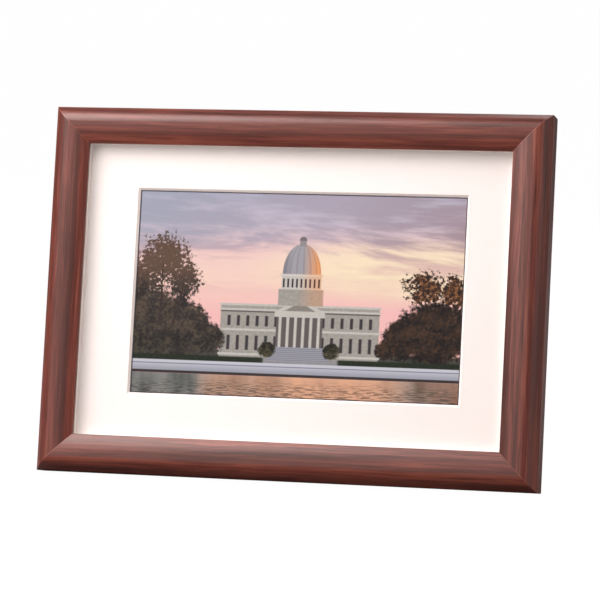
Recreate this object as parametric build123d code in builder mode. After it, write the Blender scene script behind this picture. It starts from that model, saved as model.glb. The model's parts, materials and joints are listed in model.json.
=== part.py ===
from build123d import *

import os
from math import cos, hypot, radians, sin, tan

# A ten-inch digital photo frame that stands on a table, leaning back on a hinged leg.
# Four mitred hardwood rails hold a glass, white spacer strips, a bevel-cut mat and a
# display module. A moulded rear cover carries the electronics, the buttons and the leg.
#
# The model is built in the frame's own directions: x to the viewer's right, v up the
# leaning frame and w out of its front, counted from the back of the wood. The world
# frame has +Z up, -Y towards the viewer, and its origin on the table in the middle of
# the object's footprint.

# ---------------------------------------------------------------- driving dimensions
# Mat window, mat border and wooden moulding
window_width = 215.0
window_height = 131.4
mat_border_x = 31.3
mat_border_v = 28.6
window_shift = 2.4
moulding_width = 24.2
side_height = 16.6
shoulder_slope = 61.0
crest_height = 26.0
crest_inset = 10.0
arris_height = 21.4
ledge_height = 19.6
rabbet_width = 5.0
arris_softening = 0.5
nail_pitch = 6.0
nail_leg = 5.0
nail_thickness = 0.6
nail_height = 9.0
nail_lap = 0.4

# Stance
lean_angle = 13.0
leg_swing = 26.0
table_flat = 2.4

# Layers behind the ledge, front to back
glass_thickness = 2.0
spacer_depth = 5.0
spacer_setback = 0.3
spacer_joint_gap = 0.1
mat_thickness = 1.4
gasket_thickness = 0.8
gasket_show = 0.6
lcd_thickness = 1.1
film_thickness = 0.2
guide_thickness = 0.6
reflector_thickness = 0.2
tray_thickness = 0.5
tape_thickness = 0.3
chassis_floor = 2.0
rabbet_clearance = 0.5

# Display module around the window
lcd_border_x = 7.25
lcd_border_v = 8.8
module_clearance = 0.2
film_inset = 0.8
led_strip_width = 3.0
led_length = 2.6
led_pitch = 9.0
tape_width = 8.0
chassis_wall = 2.0
chassis_rib_pitch = 38.0

# Rear cover
cover_overlap = 7.0
cover_thickness = 2.0
cover_corner = 4.0
skirt_clearance = 0.4
skirt_wall = 2.0
housing_width = 190.0
housing_bottom = 30.0
housing_top_margin = 54.0
housing_depth = 12.0
housing_wall = 2.2
housing_corner = 8.0
housing_edge = 2.5
vent_length = 40.0
vent_width = 1.8
vent_pitch = 5.0
vent_count = 8
grille_hole = 0.8
grille_pitch = 3.2
bumper_radius = 4.0
bumper_height = 1.5

# Keyhole slots for hanging
keyhole_spacing = 120.0
keyhole_drop = 22.0
keyhole_head = 4.25
keyhole_shank = 2.1
keyhole_travel = 8.0
keyhole_cup_depth = 4.0
keyhole_cup_room = 1.2
keyhole_cup_wall = 1.2

# Stand leg and hinge
leg_width = 46.0
leg_foot_width = 38.0
leg_thickness = 5.0
leg_skin = 1.8
leg_rim = 2.2
leg_rib_pitch = 34.0
leg_side_gap = 1.0
leg_floor_gap = 0.5
leg_heel = 8.0
heel_gap = 0.25
channel_depth = 6.5
channel_end_gap = 2.0
channel_top_wall = 8.0
barrel_radius = 3.2
pin_radius = 1.5
pin_running_clearance = 0.05
pin_boss_length = 3.0
pin_boss_radius = 3.6
washer_radius = 3.0
washer_thickness = 0.6
pad_thickness = 2.0
pad_depth = 8.0

# Screws
cover_screw_radius = 1.5
cover_screw_length = 11.0
cover_screw_head = 2.8
cover_screw_clearance = 0.2
board_screw_radius = 1.25
board_screw_length = 7.0
board_screw_head = 2.3
board_screw_head_height = 1.5

# Main board and what it carries; "up" is counted from the board's lower edge
board_width = 60.0
board_height = 92.0
board_thickness = 1.6
board_standoff = 7.1
board_edge_gap = 1.8
board_top_gap = 6.0
boss_radius = 3.0
boss_inset = 4.0
card_up = 22.0
card_width = 26.0
card_depth = 27.0
card_height = 2.8
usb_up = 43.0
usb_width = 8.9
usb_height = 3.2
usb_length = 7.6
usb_corner = 1.5
port_clearance = 0.3
button_up = 53.0
button_pitch = 9.0
button_radius = 2.5
button_clearance = 0.25
button_proud = 1.0
button_travel = 0.5
button_flange = 3.3
button_flange_thickness = 1.0
button_drop = 2.0
switch_length = 5.6
switch_width = 6.0
switch_height = 3.6
flex_width = 30.0
flex_thickness = 0.2
speaker_x = 60.0
speaker_up = 14.0
speaker_length = 36.0
speaker_width = 16.0
speaker_depth = 4.6
lead_radius = 0.8
antenna_lead_radius = 0.5

# ---------------------------------------------------------------- derived sizes
sight_width = window_width + 2 * mat_border_x
sight_height = window_height + 2 * mat_border_v
frame_width = sight_width + 2 * moulding_width
frame_height = sight_height + 2 * moulding_width
opening_width = sight_width + 2 * rabbet_width
opening_height = sight_height + 2 * rabbet_width
sheet_width = opening_width - 2 * rabbet_clearance
sheet_height = opening_height - 2 * rabbet_clearance
centre = (0, frame_height / 2)
display_centre = (window_shift, frame_height / 2)
cover_inset = moulding_width - rabbet_width - cover_overlap
nail_inset = cover_inset + nail_lap - nail_pitch

glass_back = ledge_height - glass_thickness
spacer_back = glass_back - spacer_depth
mat_back = spacer_back - mat_thickness
gasket_back = mat_back - gasket_thickness
lcd_back = gasket_back - lcd_thickness
film_back = lcd_back - film_thickness
guide_back = film_back - guide_thickness
reflector_back = guide_back - reflector_thickness
tray_back = reflector_back - tray_thickness
tape_back = tray_back - tape_thickness
chassis_back = tape_back - chassis_floor

lcd_width = window_width + 2 * lcd_border_x
lcd_height = window_height + 2 * lcd_border_v
tray_width = lcd_width + 2 * (module_clearance + tray_thickness)
tray_height = lcd_height + 2 * (module_clearance + tray_thickness)
film_width = lcd_width - 2 * film_inset
film_height = lcd_height - 2 * film_inset
guide_height = film_height - led_strip_width
pocket_width = tray_width + 2 * module_clearance
pocket_height = tray_height + 2 * module_clearance

housing_side = housing_width / 2
housing_top = frame_height - housing_top_margin
housing_height = housing_top - housing_bottom
housing_mid = (housing_top + housing_bottom) / 2
housing_back = -cover_thickness - housing_depth
housing_inside = housing_back + housing_wall
channel_half = leg_width / 2 + leg_side_gap
channel_wall_x = channel_half + housing_wall
channel_floor = housing_back + channel_depth
channel_inside = channel_floor + housing_wall
channel_top = housing_top - channel_top_wall

hinge_v = channel_top - channel_end_gap - leg_heel
leg_front = leg_thickness / 2 + 0.3
leg_rear = leg_thickness - leg_front
hinge_w = channel_floor - leg_floor_gap - leg_front

board_face = chassis_back - board_standoff
board_back = board_face - board_thickness
board_right = housing_side - housing_wall - board_edge_gap
board_left = board_right - board_width
board_top = housing_top - housing_wall - board_top_gap
board_bottom = board_top - board_height
board_mid_x = (board_left + board_right) / 2
button_w = board_back - button_drop
wall_inside = housing_side - housing_wall
keyhole_v = housing_top - keyhole_drop
speaker_v = housing_bottom + speaker_up

# Where the frame stands: a facet along the lowest back arris lies flat on the table,
# and the footprint from the moulding's swell to the foot pad is centred on the origin.
lean = radians(lean_angle)
leg_tilt = radians(leg_swing - lean_angle)
swing = radians(leg_swing)
slope = radians(shoulder_slope)
shoulder_radius = (side_height + crest_inset * tan(slope) - crest_height) / (1 / cos(slope) - 1)
facet_depth = table_flat / (1 / tan(lean) + tan(lean))
hinge_rise = hinge_v * cos(lean) + hinge_w * sin(lean) - facet_depth
hinge_reach = hinge_v * sin(lean) - hinge_w * cos(lean)
foot_reach = hinge_reach + hinge_rise * tan(leg_tilt)
swell_reach = (crest_height - shoulder_radius) * cos(lean) - crest_inset * sin(lean) + shoulder_radius
edge_y = (swell_reach - foot_reach - pad_depth / 2) / 2

up_frame = Vector(0, sin(lean), cos(lean))
out_front = Vector(0, -cos(lean), sin(lean))
back_plane = Plane(origin=(0, edge_y, -facet_depth), x_dir=(1, 0, 0), z_dir=out_front)


def level(w):
    """Plane parallel to the back of the wood, at height w in front of it."""
    return back_plane.offset(w)


def place(x, v, w):
    """World position of a point given along the leaning frame."""
    return back_plane.from_local_coords((x, v, w))


def facing_right(x, v, w):
    """Plane at a point, looking along +X, with its own x running up the frame."""
    return Plane(origin=place(x, v, w), x_dir=up_frame, z_dir=(1, 0, 0))


def write(piece, name):
    """Label a finished piece and write its STEP file."""
    piece.part.label = name
    export_step(piece.part, f"parts/{name}.step")


def slab(spots, width, height, low, high):
    """Inside a part block: rectangles at the spots, filled from level low to level high."""
    with BuildSketch(level(low)) as outline:
        with Locations(*spots):
            Rectangle(width, height)
    extrude(outline.sketch, amount=high - low)


os.makedirs("parts", exist_ok=True)


# ---------------------------------------------------------------- wooden moulding
def nail_outline():
    """Chevron nails across the four mitres, one leg in each of the two rails."""
    for side in (-1, 1):
        for end in (-1, 1):
            for step in range(2):
                inset = nail_inset + step * nail_pitch
                x = side * (frame_width / 2 - inset)
                v = frame_height / 2 + end * (frame_height / 2 - inset)
                with Locations((x - side * nail_leg / 2, v - end * nail_thickness / 2)):
                    Rectangle(nail_leg, nail_thickness)
                with Locations((x - side * nail_thickness / 2, v - end * nail_leg / 2)):
                    Rectangle(nail_thickness, nail_leg)


def cover_screw_spots():
    """Eight screws through the rim of the rear cover into the wood."""
    inset = cover_inset + cover_overlap / 2
    x = frame_width / 2 - inset
    v = frame_height / 2 - inset
    corners = [(sx * x * 0.86, sv * v) for sx in (-1, 1) for sv in (-1, 1)]
    sides = [(sx * x, sv * v * 0.55) for sx in (-1, 1) for sv in (-1, 1)]
    return [(sx, frame_height / 2 + sv) for sx, sv in corners + sides]


def moulding_rail(length, edge_mid, inward):
    """One mitred rail; inward points from its outer face to the sight edge."""
    along = inward.cross(out_front)
    across = Plane(origin=edge_mid, x_dir=inward, z_dir=along)
    shoulder_u = crest_inset - shoulder_radius * sin(slope)
    shoulder_w = crest_height - shoulder_radius * (1 - cos(slope))
    fall = crest_height - arris_height
    run = moulding_width - crest_inset
    inner_radius = (run**2 + fall**2) / (2 * fall)
    with BuildPart() as rail:
        with BuildSketch(across):
            with BuildLine():
                side = Polyline(
                    (moulding_width, arris_height),
                    (moulding_width, ledge_height),
                    (moulding_width - rabbet_width, ledge_height),
                    (moulding_width - rabbet_width, 0),
                    (0, 0),
                    (0, side_height),
                    (shoulder_u, shoulder_w),
                )
                RadiusArc(side @ 1, (crest_inset, crest_height), shoulder_radius)
                RadiusArc((crest_inset, crest_height), side @ 0, inner_radius)
            make_face()
            fillet(vertices().group_by(Axis.X)[-1].sort_by(Axis.Y)[-1], radius=arris_softening)
        extrude(amount=length / 2, both=True)
        for end in (-1, 1):
            corner = edge_mid + along * (end * length / 2)
            split(bisect_by=Plane(origin=corner, z_dir=inward + along * end), keep=Keep.BOTTOM)
        split(bisect_by=Plane.XY, keep=Keep.TOP)
        with BuildSketch(back_plane):
            nail_outline()
        extrude(amount=nail_height, mode=Mode.SUBTRACT)
        with BuildSketch(back_plane):
            with Locations(*cover_screw_spots()):
                Circle(cover_screw_radius)
        extrude(amount=cover_screw_length - cover_thickness, mode=Mode.SUBTRACT)
    return rail


right = Vector(1, 0, 0)
bottom_rail = moulding_rail(frame_width, place(0, 0, 0), up_frame)
write(bottom_rail, "bottom_rail")
top_rail = moulding_rail(frame_width, place(0, frame_height, 0), up_frame * -1)
write(top_rail, "top_rail")
left_stile = moulding_rail(frame_height, place(-frame_width / 2, frame_height / 2, 0), right)
write(left_stile, "left_stile")
right_stile = moulding_rail(frame_height, place(frame_width / 2, frame_height / 2, 0), right * -1)
write(right_stile, "right_stile")

with BuildPart() as corner_v_nails:
    with BuildSketch(back_plane):
        nail_outline()
    extrude(amount=nail_height)
write(corner_v_nails, "corner_v_nails")

# ---------------------------------------------------------------- glass, spacers and mat
with BuildPart() as front_glass:
    slab([centre], sheet_width, sheet_height, glass_back, ledge_height)
write(front_glass, "front_glass")

spacer_width = rabbet_width - rabbet_clearance - spacer_setback
spacer_x = (sheet_width - spacer_width) / 2
spacer_v = (sheet_height - spacer_width) / 2
with BuildPart() as mat_spacers:
    spots = [(0, frame_height / 2 + side * spacer_v) for side in (-1, 1)]
    slab(spots, sheet_width, spacer_width, spacer_back, glass_back)
    spots = [(side * spacer_x, frame_height / 2) for side in (-1, 1)]
    side_length = sheet_height - 2 * (spacer_width + spacer_joint_gap)
    slab(spots, spacer_width, side_length, spacer_back, glass_back)
write(mat_spacers, "mat_spacers")

with BuildPart() as mat_board:
    slab([centre], sheet_width, sheet_height, mat_back, spacer_back)
    with BuildSketch(level(mat_back)):
        with Locations(display_centre):
            Rectangle(window_width, window_height)
    extrude(amount=mat_thickness, taper=-45, mode=Mode.SUBTRACT)
write(mat_board, "mat_board")

# ---------------------------------------------------------------- display module
with BuildPart() as panel_gasket:
    with BuildSketch(level(gasket_back)):
        with Locations(display_centre):
            Rectangle(lcd_width, lcd_height)
            Rectangle(window_width - 2 * gasket_show, window_height - 2 * gasket_show, mode=Mode.SUBTRACT)
    extrude(amount=gasket_thickness)
write(panel_gasket, "panel_gasket")

with BuildPart() as lcd_cell:
    slab([display_centre], lcd_width, lcd_height, lcd_back, gasket_back)
write(lcd_cell, "lcd_cell")

with BuildPart() as optical_films:
    slab([display_centre], film_width, film_height, film_back, lcd_back)
write(optical_films, "optical_films")

with BuildPart() as light_guide:
    guide_centre = (window_shift, centre[1] + led_strip_width / 2)
    slab([guide_centre], film_width, guide_height, guide_back, film_back)
write(light_guide, "light_guide")

led_row_v = centre[1] - film_height / 2 + led_strip_width / 2
led_count = int(film_width / led_pitch)
with BuildPart() as led_strip:
    base_centre = (window_shift, led_row_v - led_strip_width / 4)
    slab([base_centre], film_width, led_strip_width / 2, guide_back, film_back)
    with BuildSketch(level(guide_back)):
        with Locations((window_shift, led_row_v)):
            with GridLocations(led_pitch, 0, led_count, 1):
                Rectangle(led_length, led_strip_width)
    extrude(amount=guide_thickness)
write(led_strip, "led_strip")

with BuildPart() as reflector_sheet:
    slab([display_centre], film_width, film_height, reflector_back, guide_back)
write(reflector_sheet, "reflector_sheet")

with BuildPart() as backlight_tray:
    slab([display_centre], tray_width, tray_height, tray_back, gasket_back)
    with BuildSketch(level(reflector_back)):
        with Locations(display_centre):
            Rectangle(tray_width - 2 * tray_thickness, tray_height - 2 * tray_thickness)
    extrude(amount=gasket_back - reflector_back, mode=Mode.SUBTRACT)
write(backlight_tray, "backlight_tray")

with BuildPart() as mounting_tapes:
    tape_x = tray_width / 2 - 2 * tape_width
    tape_spots = [(window_shift + side * tape_x, centre[1]) for side in (-1, 1)]
    slab(tape_spots, tape_width, film_height, tape_back, tray_back)
write(mounting_tapes, "mounting_tapes")

# ---------------------------------------------------------------- display chassis
boss_x = (board_left + boss_inset, board_right - boss_inset)
boss_v = (board_bottom + boss_inset, board_top - boss_inset)
boss_spots = [(x, v) for x in boss_x for v in boss_v]
flex_slot_v = board_bottom + 4.0
rib_count_x = int(pocket_width / chassis_rib_pitch)
rib_count_v = int(pocket_height / chassis_rib_pitch)
rib_v = (sheet_height + pocket_height) / 4
rim_height = (sheet_height - pocket_height) / 2

with BuildPart() as display_chassis:
    slab([centre], sheet_width, sheet_height, chassis_back, tape_back)
    with BuildSketch(level(tape_back)):
        with Locations(centre):
            Rectangle(sheet_width, sheet_height)
            Rectangle(sheet_width - 2 * chassis_wall, sheet_height - 2 * chassis_wall, mode=Mode.SUBTRACT)
            with GridLocations(0, chassis_rib_pitch, 1, rib_count_v):
                Rectangle(sheet_width, chassis_wall)
        with Locations((0, centre[1] - rib_v), (0, centre[1] + rib_v)):
            with GridLocations(chassis_rib_pitch, 0, rib_count_x, 1):
                Rectangle(chassis_wall, rim_height)
        with Locations(display_centre):
            Rectangle(pocket_width + 2 * chassis_wall, pocket_height + 2 * chassis_wall)
            Rectangle(pocket_width, pocket_height, mode=Mode.SUBTRACT)
    extrude(amount=mat_back - tape_back)
    with BuildSketch(level(board_face)):
        with Locations(*boss_spots):
            Circle(boss_radius)
    extrude(amount=board_standoff)
    with BuildSketch(level(board_face)):
        with Locations(*boss_spots):
            Circle(board_screw_radius)
    extrude(amount=board_screw_length - board_thickness, mode=Mode.SUBTRACT)
    with BuildSketch(level(chassis_back)):
        with Locations((board_mid_x, flex_slot_v)):
            Rectangle(flex_width + 4, 6)
    extrude(amount=chassis_floor, mode=Mode.SUBTRACT)
write(display_chassis, "display_chassis")

# ---------------------------------------------------------------- main board
with BuildPart() as main_board:
    with BuildSketch(level(board_back)):
        with Locations((board_mid_x, (board_top + board_bottom) / 2)):
            RectangleRounded(board_width, board_height, 1.5)
        with Locations(*boss_spots):
            Circle(board_screw_radius + cover_screw_clearance, mode=Mode.SUBTRACT)
    extrude(amount=board_thickness)
write(main_board, "main_board")

with BuildPart() as board_screws:
    with BuildSketch(level(board_back - board_screw_head_height)):
        with Locations(*boss_spots):
            Circle(board_screw_head)
    extrude(amount=board_screw_head_height)
    with BuildSketch(level(board_back)):
        with Locations(*boss_spots):
            Circle(board_screw_radius)
    extrude(amount=board_screw_length)
    with BuildSketch(level(board_back - board_screw_head_height)):
        with Locations(*boss_spots):
            Rectangle(2.6, 0.6)
            Rectangle(0.6, 2.6)
    extrude(amount=0.8, mode=Mode.SUBTRACT)
write(board_screws, "board_screws")


def on_board(right_of_edge, up):
    """A spot on the board, counted from its lower left corner."""
    return (board_left + right_of_edge, board_bottom + up)


def board_slab(spots, width, height, thickness):
    """Inside a part block: boxes on the rear face of the board."""
    slab(spots, width, height, board_back - thickness, board_back)


processor_spot = on_board(17, 30)
with BuildPart() as processor:
    board_slab([processor_spot], 15, 15, 1.2)
write(processor, "processor")

with BuildPart() as heat_sink:
    slab([processor_spot], 20, 20, board_back - 2.4, board_back - 1.2)
    with BuildSketch(level(board_back - 5)):
        with Locations(processor_spot):
            with GridLocations(3.2, 0, 7, 1):
                Rectangle(0.8, 20)
    extrude(amount=2.6)
write(heat_sink, "heat_sink")

with BuildPart() as memory_chips:
    board_slab([on_board(36, 50), on_board(36, 62)], 11, 8, 1.0)
write(memory_chips, "memory_chips")

with BuildPart() as wifi_shield:
    board_slab([on_board(14, 56)], 20, 15, 2.0)
    fillet(edges().filter_by(Axis(place(0, 0, 0), out_front)), 1.0)
write(wifi_shield, "wifi_shield")

with BuildPart() as board_components:
    board_slab([on_board(30, 20 + 4 * step) for step in range(4)], 3.2, 1.6, 0.9)
    board_slab([on_board(6 + 4 * step, 74) for step in range(5)], 1.6, 3.2, 0.9)
    board_slab([on_board(46, 50), on_board(46, 59)], 6, 6, 2.4)
    board_slab([on_board(30, 40), on_board(30, 70)], 5, 5, 1.5)
write(board_components, "board_components")

flex_plug_v = board_bottom + 13.0
with BuildPart() as board_connectors:
    board_slab([on_board(15, 3), on_board(25, 3)], 6, 5, 4.0)
    board_slab([on_board(14, 67)], 3, 3, 1.2)
    slab([(board_mid_x, flex_plug_v)], flex_width + 3, 5, board_face, board_face + 2)
write(board_connectors, "board_connectors")

flex_run_w = tray_back - 0.15
with BuildPart() as display_flex:
    with BuildSketch(Plane(origin=place(board_mid_x, 0, 0), x_dir=up_frame, z_dir=(1, 0, 0))):
        with BuildLine():
            FilletPolyline(
                (centre[1] - lcd_height / 2, flex_run_w),
                (flex_slot_v, flex_run_w),
                (flex_slot_v, board_face + 1),
                (flex_plug_v - 2.5, board_face + 1),
                radius=0.8,
            )
        trace(line_width=flex_thickness)
    extrude(amount=flex_width / 2, both=True)
write(display_flex, "display_flex")

usb_spot = (usb_up + board_bottom, board_back - usb_height / 2)
usb_x = housing_side - 0.4 - usb_length
with BuildPart() as usb_c_port:
    with BuildSketch(facing_right(usb_x, *usb_spot)):
        RectangleRounded(usb_width, usb_height, usb_corner)
    extrude(amount=usb_length)
    with BuildSketch(facing_right(usb_x + 1, *usb_spot)):
        RectangleRounded(usb_width - 0.7, usb_height - 0.7, usb_corner - 0.35)
    extrude(amount=usb_length - 1, mode=Mode.SUBTRACT)
    with BuildSketch(facing_right(usb_x + 1, *usb_spot)):
        Rectangle(6.6, 0.7)
    extrude(amount=usb_length - 2)
write(usb_c_port, "usb_c_port")

card_spot = (card_up + board_bottom, board_back - card_height / 2)
card_x = wall_inside - 0.3 - card_depth
with BuildPart() as card_slot:
    with BuildSketch(facing_right(card_x, *card_spot)):
        Rectangle(card_width, card_height)
        Rectangle(card_width - 1.6, card_height - 0.6, mode=Mode.SUBTRACT)
    extrude(amount=card_depth)
    with BuildSketch(facing_right(card_x, *card_spot)):
        Rectangle(card_width, card_height)
    extrude(amount=1)
write(card_slot, "card_slot")

button_spots = [board_bottom + button_up + step * button_pitch for step in range(4)]
stem_end = wall_inside - 0.2 - button_flange_thickness - 0.7
switch_right = stem_end - button_travel - 0.1
with BuildPart() as tact_switches:
    for v in button_spots:
        with BuildSketch(facing_right(switch_right - 0.8 - switch_length, v, board_back - switch_height / 2)):
            Rectangle(switch_width, switch_height)
        extrude(amount=switch_length)
        with BuildSketch(facing_right(switch_right - 0.8, v, button_w)):
            Circle(1.0)
        extrude(amount=0.8)
write(tact_switches, "tact_switches")

# ---------------------------------------------------------------- speakers and antenna
for name, side in (("speaker_left", -1), ("speaker_right", 1)):
    with BuildPart() as speaker:
        with BuildSketch(level(housing_inside)):
            with Locations((side * speaker_x, speaker_v)):
                RectangleRounded(speaker_length, speaker_width, 3)
        extrude(amount=speaker_depth - 1.2)
        with BuildSketch(level(housing_inside + speaker_depth - 1.2)):
            with Locations((side * speaker_x, speaker_v)):
                RectangleRounded(speaker_length - 14, speaker_width - 4, 2)
        extrude(amount=1.2)
        with BuildSketch(level(housing_inside)):
            with Locations((side * speaker_x, speaker_v)):
                RectangleRounded(speaker_length - 4, speaker_width - 4, 3)
        extrude(amount=1.0, mode=Mode.SUBTRACT)
    write(speaker, name)


def lead(route, radius):
    """Inside a part block: a round lead along straight runs joined by large tangent arcs."""
    points = [place(*spot) for spot in route]
    radii = []
    for before, here, after in zip(points, points[1:], points[2:]):
        run_in, run_out = here - before, after - here
        turn = radians(run_in.get_angle(run_out))
        radii.append(0.45 * min(run_in.length, run_out.length) / tan(turn / 2))
    with BuildLine() as path:
        FilletPolyline(*points, radius=radii)
    with BuildSketch(Plane(origin=path.line @ 0, z_dir=path.line % 0)) as section:
        Circle(radius)
    sweep(section.sketch, path=path.line)


speaker_back = housing_inside + speaker_depth
lead_w = channel_inside + lead_radius + 0.3
plug_w = board_back - 2.0
lead_start_v = speaker_v + speaker_width / 2 - 2
lead_gap = board_bottom - lead_start_v
with BuildPart() as speaker_leads:
    lead(
        [
            (-speaker_x, lead_start_v, speaker_back + lead_radius),
            (-speaker_x + 6, lead_start_v + 0.25 * lead_gap, speaker_back + lead_radius + 0.4),
            (-channel_wall_x - 5, lead_start_v + 0.36 * lead_gap, lead_w + 0.4),
            (0, lead_start_v + 0.4 * lead_gap, lead_w),
            (channel_wall_x + 5, lead_start_v + 0.45 * lead_gap, lead_w + 0.1),
            (board_left + 15, board_bottom - 0.25 * lead_gap, plug_w),
            (board_left + 15, board_bottom + 0.5, plug_w),
        ],
        lead_radius,
    )
    lead(
        [
            (speaker_x, lead_start_v, speaker_back + lead_radius),
            (speaker_x - 1, lead_start_v + 0.25 * lead_gap, speaker_back + lead_radius + 0.4),
            (board_left + 25, board_bottom - 0.28 * lead_gap, plug_w),
            (board_left + 25, board_bottom + 0.5, plug_w),
        ],
        lead_radius,
    )
write(speaker_leads, "speaker_leads")

antenna_v = board_bottom + 67
antenna_x = -housing_side + 24
with BuildPart() as wifi_antenna:
    slab([(antenna_x, antenna_v)], 28, 8, housing_inside, housing_inside + 0.6)
write(wifi_antenna, "wifi_antenna")

antenna_lead_w = channel_inside + antenna_lead_radius + 0.3
antenna_plug_w = board_back - antenna_lead_radius - 0.2
with BuildPart() as antenna_lead:
    lead(
        [
            (antenna_x + 10, antenna_v, housing_inside + 0.6 + antenna_lead_radius),
            (antenna_x + 24, antenna_v - 2, housing_inside + 2.2),
            (-channel_wall_x - 4, antenna_v - 4, antenna_lead_w + 0.3),
            (0, antenna_v - 3, antenna_lead_w),
            (channel_wall_x + 1, antenna_v - 1, antenna_lead_w),
            (board_left - 1, antenna_v - 0.5, antenna_plug_w),
            (board_left + 12.5, antenna_v, antenna_plug_w),
        ],
        antenna_lead_radius,
    )
write(antenna_lead, "antenna_lead")


# ---------------------------------------------------------------- rear cover
def keyhole_outline():
    """Inside a sketch: a round head hole with a narrower slot above it, at both sides."""
    for side in (-1, 1):
        x = side * keyhole_spacing / 2
        with Locations((x, keyhole_v)):
            Circle(keyhole_head)
        with Locations((x, keyhole_v + keyhole_travel)):
            Circle(keyhole_shank)
        with Locations((x, keyhole_v + keyhole_travel / 2)):
            Rectangle(2 * keyhole_shank, keyhole_travel)


def cup_outline(grow):
    """Inside a sketch: the pocket behind a keyhole in which a screw head slides up."""
    cup_width = 2 * (keyhole_head + keyhole_cup_room + grow)
    for side in (-1, 1):
        with Locations((side * keyhole_spacing / 2, keyhole_v + keyhole_travel / 2)):
            SlotCenterToCenter(keyhole_travel, cup_width, rotation=90)


grille_columns = 2 * int((speaker_length - 8) / grille_pitch / 2) + 1
grille_rows = 2 * int((speaker_width - 5) / grille_pitch / 2) + 1
vent_v = keyhole_v - keyhole_head - 8 - (vent_count - 1) * vent_pitch / 2
screw_sink = cover_screw_head - cover_screw_radius

with BuildPart() as rear_cover:
    with BuildSketch(level(-cover_thickness)):
        with Locations(centre):
            RectangleRounded(opening_width + 2 * cover_overlap, opening_height + 2 * cover_overlap, cover_corner)
    extrude(amount=cover_thickness)
    with BuildSketch(level(housing_back)):
        with Locations((0, housing_mid)):
            RectangleRounded(housing_width, housing_height, housing_corner)
    extrude(amount=housing_depth)
    fillet(edges().group_by(Axis(place(0, 0, 0), out_front))[0], housing_edge)
    # Perimeter skirt that reaches through the rabbet and presses on the chassis
    with BuildSketch(back_plane):
        with Locations(centre):
            skirt_width = opening_width - 2 * skirt_clearance
            skirt_height = opening_height - 2 * skirt_clearance
            Rectangle(skirt_width, skirt_height)
            Rectangle(skirt_width - 2 * skirt_wall, skirt_height - 2 * skirt_wall, mode=Mode.SUBTRACT)
    extrude(amount=chassis_back)
    # Room inside: a shallow space behind the leg's channel and a deep one on each side
    with BuildSketch(back_plane):
        with Locations((0, housing_mid)):
            RectangleRounded(
                housing_width - 2 * housing_wall,
                housing_height - 2 * housing_wall,
                housing_corner - housing_wall,
            )
    extrude(amount=channel_inside, mode=Mode.SUBTRACT)
    with BuildSketch(level(channel_inside)):
        with Locations((0, housing_mid)):
            RectangleRounded(
                housing_width - 2 * housing_wall,
                housing_height - 2 * housing_wall,
                housing_corner - housing_wall,
            )
        with Locations((0, (channel_top + housing_wall + housing_bottom) / 2)):
            Rectangle(
                2 * channel_wall_x,
                channel_top + housing_wall - housing_bottom,
                mode=Mode.SUBTRACT,
            )
    extrude(amount=housing_inside - channel_inside, mode=Mode.SUBTRACT)
    # Channel for the folded leg, open at the lower end
    with BuildSketch(level(channel_floor)):
        with Locations((0, (channel_top + housing_bottom) / 2 - housing_corner / 2)):
            Rectangle(2 * channel_half, channel_top - housing_bottom + housing_corner)
    extrude(amount=housing_back - channel_floor, mode=Mode.SUBTRACT)
    # Bosses and bore for the hinge pin
    for side in (-1, 1):
        with BuildSketch(facing_right(side * channel_wall_x, hinge_v, hinge_w)):
            Circle(pin_boss_radius)
        extrude(amount=side * pin_boss_length)
    pin_half = channel_wall_x + pin_boss_length
    with BuildSketch(facing_right(-pin_half, hinge_v, hinge_w)):
        Circle(pin_radius)
    extrude(amount=2 * pin_half, mode=Mode.SUBTRACT)
    # Keyholes with closed cups behind them
    with BuildSketch(level(housing_inside)):
        cup_outline(keyhole_cup_wall)
    extrude(amount=keyhole_cup_depth + keyhole_cup_wall)
    with BuildSketch(level(housing_inside)):
        cup_outline(0)
    extrude(amount=keyhole_cup_depth, mode=Mode.SUBTRACT)
    with BuildSketch(level(housing_back)):
        keyhole_outline()
    extrude(amount=housing_wall, mode=Mode.SUBTRACT)
    # Vent slots on both sides of the channel and a grille behind each speaker
    with BuildSketch(level(housing_back)):
        for side in (-1, 1):
            with Locations((side * keyhole_spacing / 2, vent_v)):
                with GridLocations(0, vent_pitch, 1, vent_count):
                    SlotOverall(vent_length, vent_width)
            with Locations((side * speaker_x, speaker_v)):
                with GridLocations(grille_pitch, grille_pitch, grille_columns, grille_rows):
                    Circle(grille_hole)
    extrude(amount=housing_wall, mode=Mode.SUBTRACT)
    # Openings in the right-hand wall for the sockets and buttons
    with BuildSketch(facing_right(wall_inside, *usb_spot)):
        RectangleRounded(
            usb_width + 2 * port_clearance,
            usb_height + 2 * port_clearance,
            usb_corner + port_clearance,
        )
    extrude(amount=housing_wall, mode=Mode.SUBTRACT)
    with BuildSketch(facing_right(wall_inside, *card_spot)):
        Rectangle(card_width, card_height)
    extrude(amount=housing_wall, mode=Mode.SUBTRACT)
    for v in button_spots:
        with BuildSketch(facing_right(wall_inside, v, button_w)):
            Circle(button_radius + button_clearance)
        extrude(amount=housing_wall, mode=Mode.SUBTRACT)
    # Countersunk holes for the cover screws
    with BuildSketch(back_plane):
        with Locations(*cover_screw_spots()):
            Circle(cover_screw_radius + cover_screw_clearance)
    extrude(amount=-cover_thickness, mode=Mode.SUBTRACT)
    with BuildSketch(level(-cover_thickness)):
        with Locations(*cover_screw_spots()):
            Circle(cover_screw_head + cover_screw_clearance)
    extrude(amount=screw_sink, taper=45, mode=Mode.SUBTRACT)
write(rear_cover, "rear_cover")

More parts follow.
